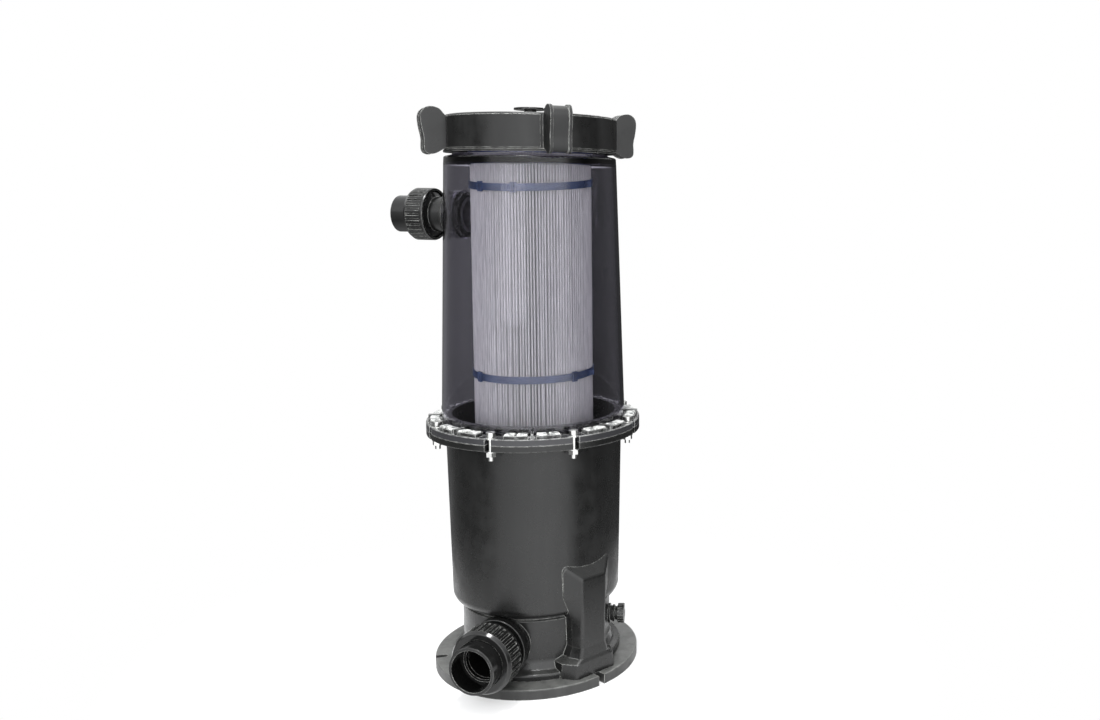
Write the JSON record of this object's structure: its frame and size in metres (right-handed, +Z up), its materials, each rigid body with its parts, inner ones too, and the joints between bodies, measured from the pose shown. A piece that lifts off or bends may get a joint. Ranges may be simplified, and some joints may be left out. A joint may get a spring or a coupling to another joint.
{
  "type": "cartridge filter housing",
  "caption": "Upright pool cartridge filter: clear tank bolted to a black sump on a slotted round foot, screw-down lid with grip lugs, two pipe unions and a drain plug.",
  "frame": {"origin": "centre of the base disc's underside, on the tank's axis", "axes": "+Z up the tank's axis to the lid; -Y is the front, -X the side of the upper union"},
  "size_m": [0.3723, 0.3627, 0.848],
  "materials": {
    "base_plastic": "moulded black plastic, fine grain, dusty grey sheen",
    "tank_plastic": "moulded black plastic, soft sheen, faint flow marks",
    "clear_plastic": "clear smoke-violet moulded plastic, polished",
    "ring_plastic": "moulded black plastic, fine grain, worn edges",
    "lid_plastic": "moulded black plastic, fine grain",
    "union_plastic": "glossy black pipe-fitting plastic",
    "fitting_plastic": "semi-gloss black plastic",
    "inner_plastic": "black plastic",
    "seal_rubber": "soft black rubber",
    "stainless": "stainless steel, bright",
    "filter_media": "pleated non-woven polyester, off-white",
    "core_plastic": "white perforated plastic",
    "cap_urethane": "moulded blue-grey urethane",
    "strap_plastic": "blue plastic strap"
  },
  "bodies": {
    "housing": {"foot_base": "base_plastic", "foot_screws": "stainless", "lower_tank": "tank_plastic", "upper_tank": "clear_plastic", "tank_oring": "seal_rubber", "flange_bolts": "stainless", "flange_washers": "stainless", "flange_nuts": "stainless", "outlet_manifold": "inner_plastic", "upper_port_fitting": "fitting_plastic", "upper_port_gasket": "seal_rubber", "upper_port_ring_nut": "fitting_plastic", "upper_union_oring": "seal_rubber", "lower_port_fitting": "fitting_plastic", "lower_port_gasket": "seal_rubber", "lower_port_ring_nut": "fitting_plastic", "lower_union_oring": "seal_rubber"},
    "lid": {"lid": "lid_plastic", "lid_oring": "seal_rubber"},
    "lock_ring": {"lock_ring": "ring_plastic"},
    "relief_seal": {"air_relief_oring": "seal_rubber"},
    "relief_knob": {"air_relief_knob": "fitting_plastic"},
    "upper_tail": {"upper_union_tail": "union_plastic"},
    "upper_nut": {"upper_union_nut": "union_plastic"},
    "lower_tail": {"lower_union_tail": "union_plastic"},
    "lower_nut": {"lower_union_nut": "union_plastic"},
    "drain_seal": {"drain_oring": "seal_rubber"},
    "drain_plug": {"drain_plug": "fitting_plastic"},
    "cartridge": {"cartridge_media": "filter_media", "cartridge_core": "core_plastic", "cartridge_top_cap": "cap_urethane", "cartridge_bottom_cap": "cap_urethane", "cartridge_band_upper": "strap_plastic", "cartridge_band_lower": "strap_plastic"}
  },
  "joints": [
    {"name": "lid_rise", "type": "slide", "parent": "housing", "child": "lid", "axis": [0, 0, 1], "range_m": [0, 0.024]},
    {"name": "lock_ring_turn", "type": "hinge", "parent": "lid", "child": "lock_ring", "pos_m": [0, 0, 0.81], "axis": [0, 0, 1], "range_deg": [0, 1080]},
    {"name": "relief_rise", "type": "slide", "parent": "lid", "child": "relief_seal", "axis": [0, 0, 1], "range_m": [0, 0.004]},
    {"name": "relief_knob_turn", "type": "hinge", "parent": "relief_seal", "child": "relief_knob", "pos_m": [0, 0, 0.84], "axis": [0, 0, 1], "range_deg": [0, 720]},
    {"name": "upper_tail_draw", "type": "slide", "parent": "housing", "child": "upper_tail", "axis": [-0.8988, 0.4384, 0], "range_m": [0, 0.012]},
    {"name": "upper_nut_turn", "type": "hinge", "parent": "upper_tail", "child": "upper_nut", "pos_m": [-0.16178, 0.07891, 0.689], "axis": [-0.8988, 0.4384, 0], "range_deg": [0, 1080]},
    {"name": "lower_tail_draw", "type": "slide", "parent": "housing", "child": "lower_tail", "axis": [-0.4384, -0.8988, 0], "range_m": [0, 0.012]},
    {"name": "lower_nut_turn", "type": "hinge", "parent": "lower_tail", "child": "lower_nut", "pos_m": [-0.07233, -0.1483, 0.065], "axis": [-0.4384, -0.8988, 0], "range_deg": [0, 1080]},
    {"name": "drain_draw", "type": "slide", "parent": "housing", "child": "drain_seal", "axis": [0.9848, -0.1736, 0], "range_m": [0, 0.01]},
    {"name": "drain_plug_turn", "type": "hinge", "parent": "drain_seal", "child": "drain_plug", "pos_m": [0.11621, -0.02049, 0.067], "axis": [0.9848, -0.1736, 0], "range_deg": [0, 1440]},
    {"name": "cartridge_turn", "type": "hinge", "parent": "housing", "child": "cartridge", "pos_m": [0, 0, 0.148], "axis": [0, 0, 1], "continuous": true}
  ],
  "couplings": [
    {"joint": "lid_rise", "follows": "lock_ring_turn", "m_per_rad": 0.0012732},
    {"joint": "relief_rise", "follows": "relief_knob_turn", "m_per_rad": 0.00031831},
    {"joint": "upper_tail_draw", "follows": "upper_nut_turn", "m_per_rad": 0.00063662},
    {"joint": "lower_tail_draw", "follows": "lower_nut_turn", "m_per_rad": 0.00063662},
    {"joint": "drain_draw", "follows": "drain_plug_turn", "m_per_rad": 0.00039789}
  ]
}
